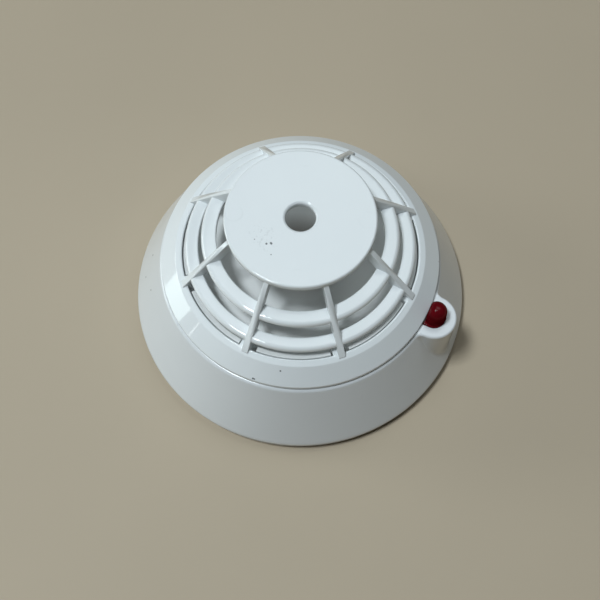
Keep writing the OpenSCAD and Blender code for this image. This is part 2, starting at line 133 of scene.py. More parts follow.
# Base
BASE_R = 49.4
BASE_T = 2.8
RECESS_Z = 0.6
BASE_RIM = 3.4
ENTRY_R = 11.0
ENTRY_RIM = 3.0
WALL_R = 40.0
WALL_T = 2.0
WALL_TOP_Z = 9.5
QUARTERS = (0, 90, 180, 270)
TAB_R = 42.4
TAB_LOW_Z = 8.0
UNLOCK_ANGLE = 20.0
LUG_HALF = 8.0
LUG_R = 40.4
LUG_LOW_Z = TAB_LOW_Z - 2.1
LUG_TOP_Z = TAB_LOW_Z - 0.3
STOP_AT = LUG_HALF + 0.6
STOP_WIDE = 3.0
SLOT_W = 4.4
SLOT_L = 9.0
FIXING_X = 30.0
FIXING_Y = 25.0
CONTACT_AZ = (45, 135, 225, 315)
BOSS_AZ = (22.5, 112.5, 202.5, 292.5)
BOSS_R = 33.5
BOSS_POST_R = 2.9
BOSS_LOW_Z = 12.0
BOSS_TOP_Z = SKIRT_TOP_Z - 0.8
BOSS_HOLE_R = 1.25
BOSS_HOLE_TOP_Z = 19.0
WEB_HALF = 0.8
TERMINAL_X = 30.0
TERMINAL_HOLE_R = 1.55
TERMINAL_HOLE_LOW_Z = 1.2
SEAT_IN_X = 20.8
SEAT_OUT_X = 34.8
SEAT_HALF = 5.2
PAD_MARGIN = 2.5

# Chassis
CHASSIS_Z = 25.3
CHASSIS_R = 37.4
CHASSIS_BORE_R = 1.8
FLOOR_Z = 26.7
RIM_IN_R = 31.7
RIM_OUT_R = 33.2
RIM_TOP_Z = 31.3
NOTCH_HALF = 4.6
NOTCH_SINK = 0.15
TURRET_FOOT_R = 4.2
TURRET_R = 3.2
TURRET_TOP_Z = 30.2
LEG_X = 27.0
LEG_R = 2.0
BOARD_TOP_Z = 16.6
SENSOR_Z = 34.5
BEAD_R = 1.5
LEAD_R = 0.2
LEAD_Y = 0.6

# Dark specks of dirt on the disc, the band and the skirt: x, y, z, radius
COVER_SPECKS = (
    (-4.6, -11.1, DISC_TOP_Z, 0.36), (-3.65, -10.4, DISC_TOP_Z, 0.36),
    (-3.45, -10.5, DISC_TOP_Z, 0.36), (-2.1, -13.4, DISC_TOP_Z, 0.2),
    (-8.0, -11.3, DISC_TOP_Z, 0.18), (10.95, -34.98, 30.24, 0.3),
    (4.67, -39.32, 27.3, 0.35), (5.1, -39.3, 27.3, 0.28))
SKIRT_SPECKS = (
    (-41.8, -14.83, 16.5, 0.4), (-41.84, -20.43, 11.6, 0.35), (-36.92, -24.93, 16.1, 0.35))

# The room, in metres
FLOOR_HALF = 0.9
LIGHT_DISTANCE = 1.3
LIGHT_AIM_HEIGHT = 0.03

# Steps round a full turn of the large parts
TURNS = 288


# ---------------------------------------------------------------- camera

def towards(azimuth, elevation):
    """Unit vector from the detector towards a camera or a light; azimuth 0 is -Y."""
    a, e = math.radians(azimuth), math.radians(elevation)
    return Vector((math.sin(a) * math.cos(e), -math.cos(a) * math.cos(e), math.sin(e)))


def make_camera():
    """Camera of the photo's view."""
    back = towards(CAM_AZIMUTH, CAM_ELEVATION)
    aim = towards(CAM_AZIMUTH, 0) * CAM_AIM_FORWARD + Vector((0, 0, CAM_AIM_HEIGHT))
    data = bpy.data.cameras.new("camera")
    data.lens = CAM_LENS
    data.clip_start = 0.01
    cam = bpy.data.objects.new("camera", data)
    bpy.context.scene.collection.objects.link(cam)
    cam.location = aim + back * CAM_DISTANCE
    turn = (-back).to_track_quat("-Z", "Y").to_matrix().to_4x4()
    roll = Matrix.Rotation(math.radians(CAM_ROLL), 4, "Z")
    cam.rotation_euler = (turn @ roll).to_euler()
    bpy.context.scene.camera = cam


# ---------------------------------------------------------------- mesh helpers

def corner_points(a, b, c, radius, steps):
    """Points of the arc that rounds corner b between a and c."""
    a, b, c = Vector(a), Vector(b), Vector(c)
    u, v = (a - b).normalized(), (c - b).normalized()
    half = math.acos(max(-1.0, min(1.0, u.dot(v)))) / 2
    mid = b + (u + v).normalized() * radius / math.sin(half)
    start = b + u * radius / math.tan(half) - mid
    stop = b + v * radius / math.tan(half) - mid
    a0 = math.atan2(start.y, start.x)
    sweep = (math.atan2(stop.y, stop.x) - a0 + 3 * math.pi) % (2 * math.pi) - math.pi
    return [(mid.x + radius * math.cos(a0 + sweep * i / steps),
             mid.y + radius * math.sin(a0 + sweep * i / steps)) for i in range(steps + 1)]


def rounded(points, steps=6):
    """Closed outline whose corners are (x, y, radius)."""
    out = []
    count = len(points)
    for i, (x, y, radius) in enumerate(points):
        if radius == 0:
            out.append((x, y))
        else:
            before, after = points[i - 1][:2], points[(i + 1) % count][:2]
            out += corner_points(before, (x, y), after, radius, steps)
    return out


def polar(radius, degrees):
    return radius * math.cos(math.radians(degrees)), radius * math.sin(math.radians(degrees))


def circle(x, y, radius, steps):
    """Points of a full circle."""
    angles = (2 * math.pi * i / steps for i in range(steps))
    return [(x + radius * math.cos(t), y + radius * math.sin(t)) for t in angles]


def grid_faces(bm, rows):
    """Quads between closed rows of vertices, the last row joined to the first. A row that repeats
    one vertex is a pole, where the quads shrink to triangles."""
    for i in range(len(rows)):
        here, there = rows[i], rows[(i + 1) % len(rows)]
        count = len(here)
        for j in range(count):
            k = (j + 1) % count
            quad = [here[j], here[k], there[k], there[j]]
            unique = [v for n, v in enumerate(quad) if v not in quad[:n]]
            if len(unique) > 2:
                bm.faces.new(unique)


def add_lathe(bm, outline, turns=TURNS):
    """Solid of revolution of a closed outline of (radius, height); points on the axis are poles."""
    rows = []
    for radius, z in outline:
        if radius < 1e-6:
            rows.append([bm.verts.new((0, 0, z))] * turns)
        else:
            rows.append([bm.verts.new((*polar(radius, 360 * i / turns), z)) for i in range(turns)])
    grid_faces(bm, rows)


def add_stack(bm, rings):
    """Closed solid through rings of vertices, from the lowest to the highest."""
    count = len(rings[0])
    for low, high in zip(rings, rings[1:]):
        for i in range(count):
            k = (i + 1) % count
            bm.faces.new([low[i], low[k], high[k], high[i]])
    bm.faces.new(list(reversed(rings[0])))
    bm.faces.new(rings[-1])


def add_prism(bm, outline, z0, z1, place=None):
    """Closed prism of a 2D outline between two heights, moved by a matrix."""
    low = [bm.verts.new((x, y, z0)) for x, y in outline]
    high = [bm.verts.new((x, y, z1)) for x, y in outline]
    made = [bm.faces.new(list(reversed(low))), bm.faces.new(high)]
    count = len(outline)
    for i in range(count):
        k = (i + 1) % count
        made.append(bm.faces.new([low[i], low[k], high[k], high[i]]))
    if place is not None:
        bmesh.ops.transform(bm, matrix=place, verts=low + high)
    return made


def add_box(bm, lo, hi, place=None, bevel=0.0):
    """Box between two corners, moved by a matrix."""
    made = add_prism(bm, [(lo[0], lo[1]), (hi[0], lo[1]), (hi[0], hi[1]), (lo[0], hi[1])],
                     lo[2], hi[2], place)
    if bevel:
        edges = list({e for f in made for e in f.edges})
        bmesh.ops.bevel(bm, geom=edges, offset=bevel, segments=2, profile=0.5, affect="EDGES")


def add_sector(bm, r0, r1, z0, z1, a0, a1, bevel=0.0):
    """Block of a ring between two angles."""
    steps = max(4, round(abs(a1 - a0) / 1.25))
    angles = [a0 + (a1 - a0) * i / steps for i in range(steps + 1)]
    outline = [polar(r1, a) for a in angles] + [polar(r0, a) for a in reversed(angles)]
    made = add_prism(bm, outline, z0, z1)
    if bevel:
        long_edges = [e for e in {e for f in made for e in f.edges} if e.calc_face_angle(0) > 1.0]
        bmesh.ops.bevel(bm, geom=long_edges, offset=bevel, segments=2, profile=0.5, affect="EDGES")


def spin(degrees):
    return Matrix.Rotation(math.radians(degrees), 4, "Z")


def solid(name, build):
    """New object in millimetres from a function that fills a bmesh."""
    bm = bmesh.new()
    build(bm)
    bmesh.ops.recalc_face_normals(bm, faces=bm.faces)
    mesh = bpy.data.meshes.new(name)
    bm.to_mesh(mesh)
    bm.free()
    piece = bpy.data.objects.new(name, mesh)
    bpy.context.scene.collection.objects.link(piece)
    return piece


def combine(piece, other, operation):
    """Boolean of two closed millimetre solids that leaves a closed one; the second is used up."""
    modifier = piece.modifiers.new("combine", "BOOLEAN")
    modifier.operation = operation
    modifier.solver = "MANIFOLD"
    modifier.object = other
    graph = bpy.context.evaluated_depsgraph_get()
    graph.update()
    mesh = bpy.data.meshes.new_from_object(piece.evaluated_get(graph))
    piece.modifiers.clear()
    old = piece.data
    piece.data = mesh
    mesh.name = piece.name
    bpy.data.meshes.remove(old)
    used = other.data
    bpy.data.objects.remove(other)
    bpy.data.meshes.remove(used)


def finish_piece(piece, body, node, material, sharp=32):
    """Cleans and scales a millimetre solid, shades it smooth up to the angle given as sharp, gives it its
    material, parents it to its body's empty and hides the CAD node that it replaces."""
    bm = bmesh.new()
    bm.from_mesh(piece.data)
    bmesh.ops.remove_doubles(bm, verts=bm.verts, dist=0.002)
    bmesh.ops.dissolve_degenerate(bm, edges=bm.edges, dist=0.001)
    bmesh.ops.scale(bm, vec=(MM, MM, MM), verts=bm.verts)
    for face in bm.faces:
        face.smooth = True
    bm.to_mesh(piece.data)
    bm.free()
    piece.data.set_sharp_from_angle(angle=math.radians(sharp))
    piece.data.materials.clear()
    piece.data.materials.append(material)
    weighted = piece.modifiers.new("weighted_normals", "WEIGHTED_NORMAL")
    weighted.keep_sharp = True
    weighted.weight = 60
    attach(piece, body)
    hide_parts(node)


# ---------------------------------------------------------------- grille cover

def rib_line(radius):
    """Height of a rib's top edge."""
    slope = (RIB_FOOT[1] - RIB_TOP[1]) / (RIB_FOOT[0] - RIB_TOP[0])
    return RIB_TOP[1] + slope * (radius - RIB_TOP[0])


def add_rib(bm, degrees):
    """One rib: a plate on edge, wider towards the lip, with rounded edges."""
    foot_r, top_z = RIB_FOOT[0], RIB_TOP[1]
    # The third point lies on the straight top edge, but the rib's shading depends on it.
    side = [(RIB_ROOT_R, top_z + 0.3), RIB_TOP, (RIB_MID_R, rib_line(RIB_MID_R)), RIB_FOOT,
            (foot_r, 30.8), (LIP_IN_R + 0.4, 30.2), (LIP_IN_R - 0.4, RIB_LOW_Z),
            (RIB_KNEE_R, RIB_LOW_Z), (RIB_KNEE_R, rib_line(RIB_KNEE_R) - RIB_DROP),
            (DISC_R, top_z - RIB_DROP), (RIB_ROOT_R, top_z - RIB_DROP + 1.5)]
    rows = []
    for sign in (-1, 1):
        row = []
        for r, z in side:
            share = (r - RIB_ROOT_R) / (foot_r - RIB_ROOT_R)
            width = RIB_ROOT_W + (RIB_FOOT_W - RIB_ROOT_W) * share
            row.append(bm.verts.new((r, sign * width / 2, z)))
        rows.append(row)
    made = [bm.faces.new(rows[0]), bm.faces.new(list(reversed(rows[1])))]
    count = len(side)
    for i in range(count):
        k = (i + 1) % count
        made.append(bm.faces.new([rows[0][i], rows[1][i], rows[1][k], rows[0][k]]))
    rim = list(made[0].edges) + list(made[1].edges)
    result = bmesh.ops.bevel(bm, geom=rim, offset=RIB_EDGE, segments=3, profile=0.5, affect="EDGES")
    verts = list({v for v in rows[0] + rows[1] if v.is_valid} | set(result["verts"]))
    bmesh.ops.transform(bm, matrix=spin(degrees), verts=verts)


def cover_rounds(bm):
    """The parts of the cover that are solids of revolution."""
    add_lathe(bm, rounded([
        (COVER_R - SEAM_DEPTH, WALL_LOW_Z, 0.1), (COVER_R - SEAM_DEPTH, WALL_LOW_Z + SEAM_H, 0.1),
        (COVER_R, WALL_LOW_Z + SEAM_H, 0.12), (COVER_R, BAND_LOW_Z, 0.55),
        (BAND_IN_R, BAND_TOP_Z, 0.9), (LIP_IN_R, LIP_Z, 0.45), (LIP_IN_R, LIP_Z - LIP_T, 0.3),
        (BAND_IN_R - 0.6, BAND_TOP_Z - LIP_T, 0.5), (COVER_R - COVER_WALL, BAND_LOW_Z - 0.2, 0.4),
        (COVER_R - COVER_WALL, WALL_LOW_Z, 0.1)]))
    for inner, outer, z in (RING_1, RING_2):
        add_lathe(bm, rounded([(inner, z, 0.4), (outer, z, RING_ROUND),
                               (outer, z - RING_T, 0.3), (inner, z - RING_T, 0.3)]))
    add_lathe(bm, rounded([
        (VENT_R, DISC_TOP_Z, VENT_ROUND), (DISC_R, DISC_TOP_Z, DISC_ROUND),
        (DISC_R, DISC_TOP_Z - DISC_T, 0.4), (VENT_R, DISC_TOP_Z - DISC_T, 0.3)]))


def cover_ribs(bm):
    """The ribs between the disc and the lip."""
    for i in range(RIB_COUNT):
        add_rib(bm, 360 * i / RIB_COUNT)


def cover_tabs(bm):
    """Small tab on the lip, at one side of each rib's foot."""
    for i in range(RIB_COUNT):
        a = 360 * i / RIB_COUNT
        add_sector(bm, LIP_IN_R - LIP_TAB_REACH, LIP_IN_R + 0.4, LIP_Z - 1.7, LIP_Z - 0.2,
                   a - LIP_TAB_ANGLE, a, 0.15)


def cover_hooks(bm):
    """Snap hooks under the band, as outlines of (radius, height) across their width."""
    barb_r, out_r, root_r = HOOK_IN_R - HOOK_BARB, HOOK_IN_R + HOOK_T, COVER_R - 1.7
    root_z = WALL_LOW_Z + 1
    side = [(HOOK_IN_R, root_z), (HOOK_IN_R, FLANGE_Z - 0.1), (barb_r, FLANGE_Z - 0.1),
            (barb_r, FLANGE_Z - 0.4), (HOOK_IN_R, HOOK_TIP_Z), (out_r, HOOK_TIP_Z),
            (out_r, WALL_LOW_Z + 0.1), (root_r, WALL_LOW_Z + 0.1), (root_r, root_z)]
    upright = Matrix.Rotation(math.radians(90), 4, "X")
    for degrees in HOOK_AZ:
        add_prism(bm, side, -HOOK_W / 2, HOOK_W / 2, spin(degrees) @ upright)


def make_cover(material):
    """The cover is one moulding: rings, band and disc, joined by the ribs."""
    cover = solid("grille_cover_shell", cover_rounds)
    combine(cover, solid("ribs", cover_ribs), "UNION")
    combine(cover, solid("lip_tabs", cover_tabs), "UNION")
    combine(cover, solid("hooks", cover_hooks), "UNION")
    finish_piece(cover, "head", "grille_cover", material)


# ---------------------------------------------------------------- head housing

def pod_samples():
    """Half of the pod's outline as (radius, degrees), from the skirt's top circle to the tip."""
    reach_pod, reach_skirt = POD_R + POD_FLARE_R, POD_SEAT_R + POD_FLARE_R
    cx = (POD_X ** 2 + reach_skirt ** 2 - reach_pod ** 2) / (2 * POD_X)
    cy = math.sqrt(reach_skirt ** 2 - cx ** 2)
    to_skirt = math.atan2(-cy, -cx)
    to_pod = math.atan2(-cy, POD_X - cx)
    points = []
    flare_steps, round_steps = 18, 40
    for i in range(flare_steps):
        t = to_skirt + (to_pod - to_skirt) * i / flare_steps
        points.append((cx + POD_FLARE_R * math.cos(t), cy + POD_FLARE_R * math.sin(t)))
    start = math.atan2(cy, cx - POD_X)
    for i in range(round_steps + 1):
        t = start * (1 - i / round_steps)
        points.append((POD_X + POD_R * math.cos(t), POD_R * math.sin(t)))
    return [(math.hypot(x, y), math.degrees(math.atan2(y, x))) for x, y in points]


def housing_outline():
    """Polar samples of the pod and of the plain skirt: (pod radius or 0, degrees), once round."""
    half = pod_samples()
    first = half[0][1]
    plain = 250
    far = [(0.0, first + (360 - 2 * first) * i / plain) for i in range(1, plain)]
    mirrored = [(r, -d) for r, d in half[:-1]]
    return list(reversed(half)) + far + mirrored


def soft_max(a, b, blend):
    """Larger of two radii, with a fillet where they cross."""
    h = max(blend - abs(a - b), 0.0) / blend
    return max(a, b) + h * h * blend / 4


def cone_radius(z):
    """Radius of the skirt's straight cone."""
    low = SKIRT_LOW_Z + SKIRT_LAND
    share = (z - low) / (SKIRT_TOP_Z - low)
    return SKIRT_R + (NECK_R - SKIRT_R) * max(share, 0.0)


def inner_radius(z):
    """Radius of the skirt's inside."""
    share = (z - SKIRT_LOW_Z) / (FLANGE_Z - SKIRT_LOW_Z)
    return INNER_LOW_R + (INNER_NECK_R - INNER_LOW_R) * share


def hollow_radius(degrees):
    """How far the pod's hollow reaches in that direction, or 0."""
    t = math.radians(degrees)
    r = POD_R - POD_WALL
    inside = r * r - (POD_X * math.sin(t)) ** 2
    return POD_X * math.cos(t) + math.sqrt(inside) if inside > 0 and math.cos(t) > 0 else 0.0


def housing_shell(bm):
    """Skirt and pod as one skin: closed rows round the axis, up the outside, over the top edge and
    down the inside."""
    samples = housing_outline()
    count = len(samples)

    def row(radii, z, inset=0.0):
        """Vertices at one height, moved inwards by the inset."""
        flat = [Vector(polar(r, samples[i][1])) for i, r in enumerate(radii)]
        out = []
        for i, p in enumerate(flat):
            along = flat[(i + 1) % count] - flat[i - 1]
            normal = Vector((along.y, -along.x)).normalized()
            q = p - normal * inset
            out.append(bm.verts.new((q.x, q.y, z)))
        return out

    rows = []
    edge_r = 0.25
    for i in range(4):
        t = math.pi / 2 * i / 4
        rows.append(row([SKIRT_R] * count, SKIRT_LOW_Z + edge_r * (1 - math.sin(t)),
                        edge_r * (1 - math.cos(t))))
    rows.reverse()
    cone_low = SKIRT_LOW_Z + SKIRT_LAND
    # The upright land bends softly into the cone: (inwards in mm, share of the land's height).
    land = [(0.0, 0.6), (0.012, 0.8), (0.05, 1.0), (0.15, 1.25)]
    for drop, up in land:
        rows.append(row([SKIRT_R - drop] * count, SKIRT_LOW_Z + up * SKIRT_LAND))
    cone_high = SKIRT_TOP_Z - TOP_ROUND
    steps = 44
    for i in range(1, steps + 1):
        z = cone_low + (cone_high - cone_low) * i / steps
        if z < SKIRT_LOW_Z + 1.45 * SKIRT_LAND:
            continue
        rows.append(row([soft_max(cone_radius(z), r, POD_BLEND) for r, _ in samples], z))
    steps = 8
    for i in range(1, steps + 1):
        t = math.pi / 2 * i / steps
        z = cone_high + TOP_ROUND * math.sin(t)
        blend = POD_BLEND * (1 - i / steps) + 0.05
        radii = [soft_max(cone_radius(z), r, blend) for r, _ in samples]
        rows.append(row(radii, z, TOP_ROUND * (1 - math.cos(t)) * 0.9))
    for radius, z in ((FLANGE_IN_R + 2.6, SKIRT_TOP_Z), (FLANGE_IN_R, SKIRT_TOP_Z),
                      (FLANGE_IN_R, FLANGE_Z)):
        rows.append(row([radius] * count, z))
    steps = 16
    for i in range(steps + 1):
        z = FLANGE_Z + (SKIRT_LOW_Z - FLANGE_Z) * i / steps
        rows.append(row([max(inner_radius(z), hollow_radius(d)) for _, d in samples], z))
    grid_faces(bm, rows)


def aperture_outline(grow):
    """U-shaped opening of the pod, open towards the cover."""
    r = APERTURE_R + grow
    steps = 32
    arc = [(POD_X + r * math.cos(t), r * math.sin(t))
           for t in (math.pi * (i / steps - 0.5) for i in range(steps + 1))]
    return arc + [(APERTURE_IN_X - grow, r), (APERTURE_IN_X - grow, -r)]


def housing_cuts(bm):
    """Aperture with a small chamfer at its top edge, and the slots for the cover's hooks."""
    chamfer = 0.22
    levels = ((FLANGE_Z - 1, 0), (SKIRT_TOP_Z - chamfer, 0), (SKIRT_TOP_Z + 0.3, chamfer + 0.3))
    rings = [[bm.verts.new((x, y, z)) for x, y in aperture_outline(grow)] for z, grow in levels]
    add_stack(bm, rings)
    gap = 0.2
    for degrees in HOOK_AZ:
        add_box(bm, (HOOK_IN_R - gap, -HOOK_W / 2 - gap, FLANGE_Z - 1),
                (HOOK_IN_R + HOOK_T + gap, HOOK_W / 2 + gap, SKIRT_TOP_Z + 1), spin(degrees))


def housing_inner(bm):
    """Locking lugs and screw bosses inside the skirt."""
    lug_root_r = inner_radius(LUG_TOP_Z) + 0.8
    for a in QUARTERS:
        add_sector(bm, LUG_R, lug_root_r, LUG_LOW_Z, LUG_TOP_Z, a - LUG_HALF, a + LUG_HALF)
    for degrees in BOSS_AZ:
        add_prism(bm, circle(BOSS_R, 0, BOSS_POST_R, 48), BOSS_LOW_Z, BOSS_TOP_Z, spin(degrees))


def boss_webs(bm):
    """Webs that join the bosses to the skirt's inside."""
    for degrees in BOSS_AZ:
        add_box(bm, (BOSS_R + 1, -WEB_HALF, BOSS_LOW_Z + 1),
                (INNER_NECK_R + 1.2, WEB_HALF, FLANGE_Z + 0.5), spin(degrees))


def boss_holes(bm):
    """Pilot holes for the screws that hold the contact carrier."""
    for degrees in BOSS_AZ:
        add_prism(bm, circle(BOSS_R, 0, BOSS_HOLE_R, 32), BOSS_LOW_Z - 2, BOSS_HOLE_TOP_Z,
                  spin(degrees))


def make_housing(material):
    """The skirt with its pod, and what is moulded inside it."""
    housing = solid("head_housing_shell", housing_shell)
    combine(housing, solid("housing_inner", housing_inner), "UNION")
    combine(housing, solid("boss_webs", boss_webs), "UNION")
    combine(housing, solid("boss_holes", boss_holes), "DIFFERENCE")
    combine(housing, solid("housing_cuts", housing_cuts), "DIFFERENCE")
    finish_piece(housing, "head", "head_housing", material)


# ---------------------------------------------------------------- base

def base_plate(bm):
    """Plate with the recess of its back, its rim and its ring wall."""
    add_lathe(bm, rounded([
        (ENTRY_R, 0, 0.25), (ENTRY_R + ENTRY_RIM, 0, 0.15), (ENTRY_R + ENTRY_RIM, RECESS_Z, 0.1),
        (BASE_R - BASE_RIM, RECESS_Z, 0.1), (BASE_R - BASE_RIM, 0, 0.15), (BASE_R, 0, 0.3),
        (BASE_R, BASE_T, 0.6), (WALL_R, BASE_T, 0.3), (WALL_R, WALL_TOP_Z, 0.3),
        (WALL_R - WALL_T, WALL_TOP_Z, 0.3), (WALL_R - WALL_T, BASE_T, 0.3),
        (ENTRY_R, BASE_T, 0.25)]))


def base_tabs(bm):
    """Locking tabs on the ring wall, over the head's lugs."""
    for a in QUARTERS:
        add_sector(bm, WALL_R - 0.5, TAB_R, TAB_LOW_Z, WALL_TOP_Z - 0.01,
                   a - STOP_AT - 0.02, a + LUG_HALF + 1, 0.15)


def base_stops(bm):
    """Stops on the ring wall at both ends of each lug's travel."""
    for a in QUARTERS:
        for a0 in (a - STOP_AT - STOP_WIDE, a + UNLOCK_ANGLE + STOP_AT):
            add_sector(bm, WALL_R - 0.6, TAB_R - 0.01, BASE_T - 0.4, WALL_TOP_Z - 0.02,
                       a0, a0 + STOP_WIDE)


def fixing_places():
    """Where the fixing slots lie: two pairs, square to each other."""
    places = ((FIXING_X, 0, 0), (-FIXING_X, 0, 0), (0, FIXING_Y, 90), (0, -FIXING_Y, 90))
    return [Matrix.Translation((x, y, 0)) @ spin(turn) for x, y, turn in places]


def base_seats(bm):
    """Contact seats, and the pads behind the fixing slots."""
    for degrees in CONTACT_AZ:
        add_box(bm, (SEAT_IN_X, -SEAT_HALF, BASE_T - 0.5), (SEAT_OUT_X, SEAT_HALF, BASE_T + 1),
                spin(degrees))
    pad_x, pad_y = SLOT_L / 2 + PAD_MARGIN, SLOT_W / 2 + PAD_MARGIN
    for place in fixing_places():
        add_box(bm, (-pad_x, -pad_y, 0), (pad_x, pad_y, BASE_T - 0.2), place, 0.12)


def slot_outline(radius):
    """Outline of a fixing slot whose ends are half circles of that radius."""
    steps = 16
    reach = (SLOT_L - SLOT_W) / 2
    return [(side * reach + radius * math.cos(t), radius * math.sin(t))
            for side in (1, -1)
            for t in (math.pi * (i / steps - 0.5 * side) for i in range(steps + 1))]


def base_cuts(bm):
    """Fixing slots with softened edges, and pilot holes for the terminal screws."""
    levels = ((-0.3, 0.5), (0.2, 0.0), (BASE_T - 0.2, 0.0), (BASE_T + 0.3, 0.5))
    for place in fixing_places():
        add_stack(bm, [[bm.verts.new(place @ Vector((x, y, z)))
                        for x, y in slot_outline(SLOT_W / 2 + grow)] for z, grow in levels])
    for degrees in CONTACT_AZ:
        add_prism(bm, circle(TERMINAL_X, 0, TERMINAL_HOLE_R, 32), TERMINAL_HOLE_LOW_Z, BASE_T + 2.2,
                  spin(degrees))


def make_base(material):
    """The mounting base, with its locking ring and its fixing slots."""
    base = solid("mounting_base_shell", base_plate)
    combine(base, solid("base_tabs", base_tabs), "UNION")
    combine(base, solid("base_stops", base_stops), "UNION")
    combine(base, solid("base_seats", base_seats), "UNION")
    combine(base, solid("base_cuts", base_cuts), "DIFFERENCE")
    finish_piece(base, "base", "mounting_base", material)


# ---------------------------------------------------------------- chamber

def chassis_body(bm):
    """Floor of the chamber with its rim and the thermistor's turret."""
    add_lathe(bm, rounded([
        (CHASSIS_BORE_R, CHASSIS_Z, 0.1), (CHASSIS_R, CHASSIS_Z, 0.2),
        (CHASSIS_R, CHASSIS_Z + 1, 0.2), (RIM_OUT_R, FLOOR_Z, 0.2), (RIM_OUT_R, RIM_TOP_Z, 0.3),
        (RIM_IN_R, RIM_TOP_Z, 0.3), (RIM_IN_R, FLOOR_Z, 0.4), (TURRET_FOOT_R, FLOOR_Z, 0.8),
        (TURRET_R, TURRET_TOP_Z, 0.4), (CHASSIS_BORE_R, TURRET_TOP_Z, 0.2)]))


def chassis_legs(bm):
    """Legs that stand on the circuit board."""
    for degrees in CONTACT_AZ:
        add_prism(bm, circle(LEG_X, 0, LEG_R, 32), BOARD_TOP_Z, CHASSIS_Z + 0.4, spin(degrees))


def chassis_cuts(bm):
    """Notches of the rim at the ribs' feet, and room for the cover's hooks."""
    for i in range(RIB_COUNT):
        a = 360 * i / RIB_COUNT
        add_sector(bm, RIM_IN_R - 0.6, RIM_OUT_R + 0.6, FLOOR_Z - NOTCH_SINK, RIM_TOP_Z + 1,
                   a - NOTCH_HALF, a + NOTCH_HALF)
    gap = 0.3
    for degrees in HOOK_AZ:
        add_box(bm, (HOOK_IN_R - gap, -HOOK_W / 2 - gap, CHASSIS_Z - 1),
                (HOOK_IN_R + 3, HOOK_W / 2 + gap, CHASSIS_Z + 3), spin(degrees))


def make_chassis(material):
    """The chassis between the cover and the board."""
    chassis = solid("inner_chassis_shell", chassis_body)
    combine(chassis, solid("chassis_legs", chassis_legs), "UNION")
    combine(chassis, solid("chassis_cuts", chassis_cuts), "DIFFERENCE")
    finish_piece(chassis, "head", "inner_chassis", material)


def thermistor_bead(bm):
    """Dipped bead: flattened at its top, and fuller where it runs down onto its leads."""
    steps = 24
    outline = []
    for i in range(steps + 1):
        t = math.pi * i / steps
        tail = max(0.0, -math.cos(t)) ** 3
        flat = ((1 + math.cos(t)) / 2) ** 4
        outline.append(((BEAD_R + 0.2 * tail) * math.sin(t), SENSOR_Z + BEAD_R * math.cos(t) - 1.1 * flat))
    add_lathe(bm, outline, 64)


def thermistor_leads(bm):
    """Two wires from the bead down to the board."""
    for side in (-1, 1):
        add_prism(bm, circle(0, side * LEAD_Y, LEAD_R, 16), BOARD_TOP_Z, SENSOR_Z - 1.2)


def make_thermistor(material):
    """The sensing bead on its leads."""
    bead = solid("thermistor_drop", thermistor_bead)
    combine(bead, solid("thermistor_leads", thermistor_leads), "UNION")
    finish_piece(bead, "head", "thermistor", material, 50)


# ---------------------------------------------------------------- lens

def lens_flange(bm):
    """Plate that fills the aperture, with a rounded top edge."""
    top = SKIRT_TOP_Z + 0.15
    levels = [(FLANGE_Z - 0.6, -LENS_GAP)]
    steps = 4
    for i in range(steps + 1):
        t = math.pi / 2 * i / steps
        levels.append((top - LENS_EDGE * (1 - math.sin(t)), -LENS_GAP - LENS_EDGE * (1 - math.cos(t))))
    rings = [[bm.verts.new((x, y, z)) for x, y in aperture_outline(grow)] for z, grow in levels]
    add_stack(bm, rings)


def lens_dome(bm):
    """Domed barrel over the lamp."""
    low = SKIRT_TOP_Z + 0.05
    outline = [(0.0, low), (LENS_R, low)]
    outline += [(LENS_R * math.cos(t), LENS_DOME_Z + LENS_R * math.sin(t))
                for t in (math.pi / 2 * i / 24 for i in range(24))]
    outline.append((0.0, LENS_DOME_Z + LENS_R))
    add_lathe(bm, outline, 128)
    bmesh.ops.translate(bm, vec=(LENS_X, 0, 0), verts=bm.verts)


def lens_cut(bm):
    """Room for the cover's band, a drum on the detector's axis."""
    r = COVER_R + COVER_GAP
    add_lathe(bm, [(0.0, FLANGE_Z), (r, FLANGE_Z), (r, FLANGE_Z + 12), (0.0, FLANGE_Z + 12)])


def lens_bore(bm):
    """Room for the lamp's body, with a round end."""
    r, top = LENS_BORE_R, LENS_BORE_TOP_Z
    outline = [(0.0, FLANGE_Z - 1), (r, FLANGE_Z - 1), (r, top - r)]
    outline += [(r * math.cos(t), top - r + r * math.sin(t))
                for t in (math.pi / 2 * i / 10 for i in range(1, 10))]
    outline.append((0.0, top))
    add_lathe(bm, outline, 96)
    bmesh.ops.translate(bm, vec=(LAMP_X, 0, 0), verts=bm.verts)


def make_lens(material):
    """The red lens, hollow over the lamp and cut back beside the band."""
    lens = solid("led_lens_moulding", lens_dome)
    combine(lens, solid("lens_cut", lens_cut), "DIFFERENCE")
    combine(lens, solid("lens_flange", lens_flange), "UNION")
    combine(lens, solid("lens_bore", lens_bore), "DIFFERENCE")
    finish_piece(lens, "head", "led_lens", material, 40)


# ---------------------------------------------------------------- materials

